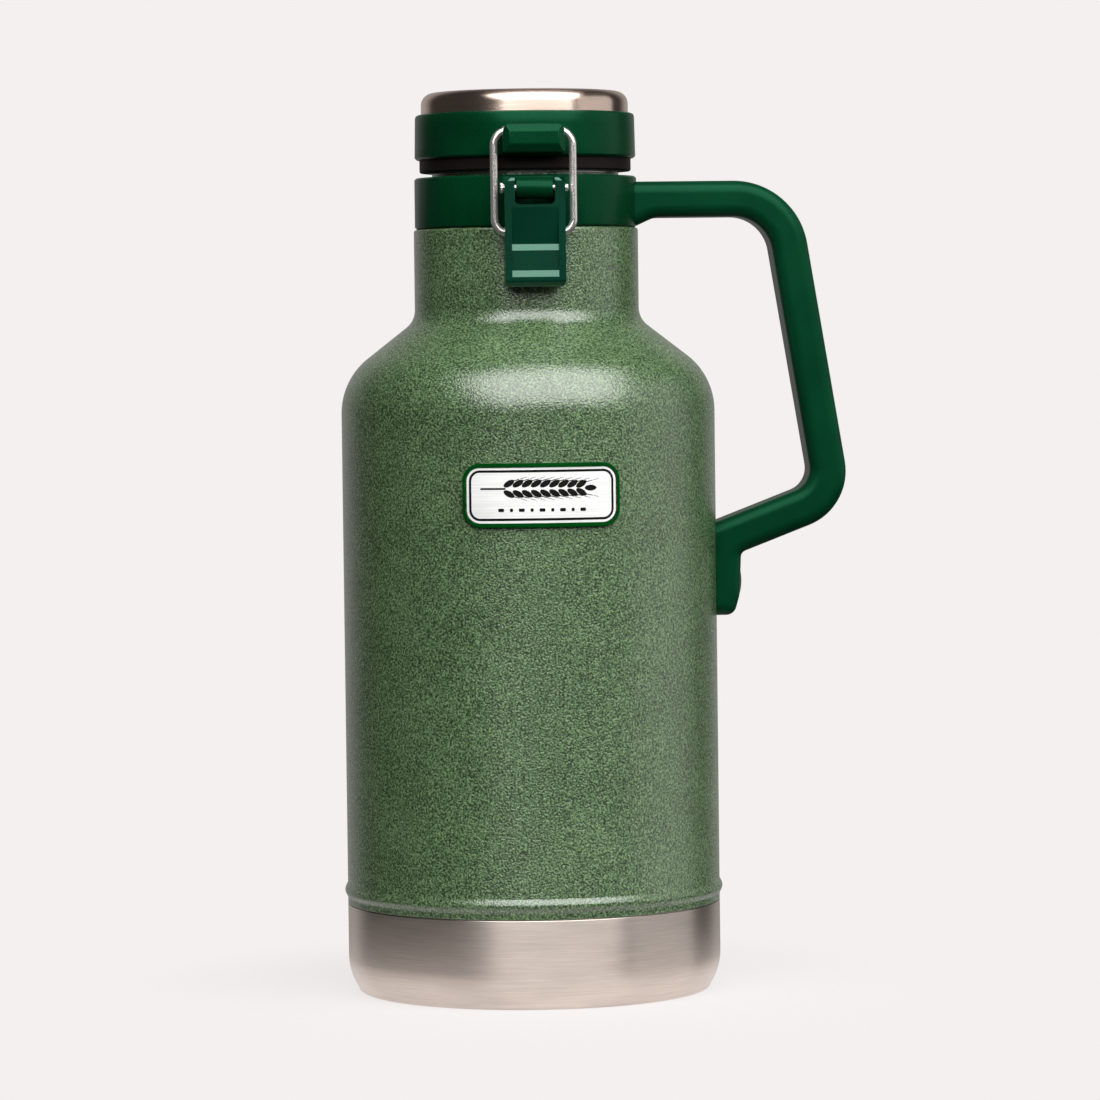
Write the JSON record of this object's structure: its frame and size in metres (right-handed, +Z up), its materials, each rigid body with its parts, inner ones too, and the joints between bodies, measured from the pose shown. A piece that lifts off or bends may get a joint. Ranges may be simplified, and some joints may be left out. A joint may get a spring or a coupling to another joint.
{
  "type": "growler",
  "caption": "Insulated steel growler with a side handle, a hinged cap held by a lever and wire bail latch, and a brushed steel base cup.",
  "frame": {"origin": "centre of the flat foot ring the bottle stands on", "axes": "+Z up along the bottle, -Y towards the latch and badge, +X towards the handle, +Y towards the lid hinge"},
  "size_m": [0.1724, 0.129, 0.3061],
  "materials": {
    "hammered_paint": "satin hammered enamel",
    "brushed_steel": "brushed round the axis",
    "plain_steel": "satin",
    "polished_steel": "polished",
    "green_plastic": "satin",
    "badge_metal": "brushed",
    "black_plastic": "satin",
    "silicone": "matt",
    "foam": "matt"
  },
  "bodies": {
    "bottle": {"outer_shell": "hammered_paint", "base_cup": "brushed_steel", "inner_vessel": "plain_steel", "inner_neck": "plain_steel", "port_disc": "plain_steel", "getter": "plain_steel", "collar": "green_plastic", "handle": "green_plastic", "handle_bracket": "plain_steel", "handle_screw": "plain_steel", "screw_cap": "green_plastic", "badge_border": "green_plastic", "badge_plate": "badge_metal", "latch_pin": "polished_steel", "hinge_pin": "polished_steel"},
    "lid": {"lid_ring": "green_plastic", "lid_cap": "brushed_steel", "lid_body": "black_plastic", "lid_seal": "silicone", "lid_liner": "plain_steel", "plug_foam": "foam", "lid_foam": "foam"},
    "lever": {"latch_lever": "green_plastic"},
    "bail": {"bail_wire": "polished_steel"}
  },
  "joints": [
    {"name": "lid_hinge", "type": "hinge", "parent": "bottle", "child": "lid", "pos_m": [0, 0.043, 0.2774], "axis": [-1, 0, 0], "range_deg": [0, 110]},
    {"name": "lever_hinge", "type": "hinge", "parent": "bottle", "child": "lever", "pos_m": [0, -0.0432, 0.2718], "axis": [-1, 0, 0], "range_deg": [0, 90]},
    {"name": "bail_hinge", "type": "hinge", "parent": "lever", "child": "bail", "pos_m": [0, -0.0414, 0.257], "axis": [1, 0, 0], "range_deg": [0, 61.2]}
  ],
  "couplings": [
    {"joint": "bail_hinge", "follows": "lever_hinge", "ratio": 0.68}
  ]
}
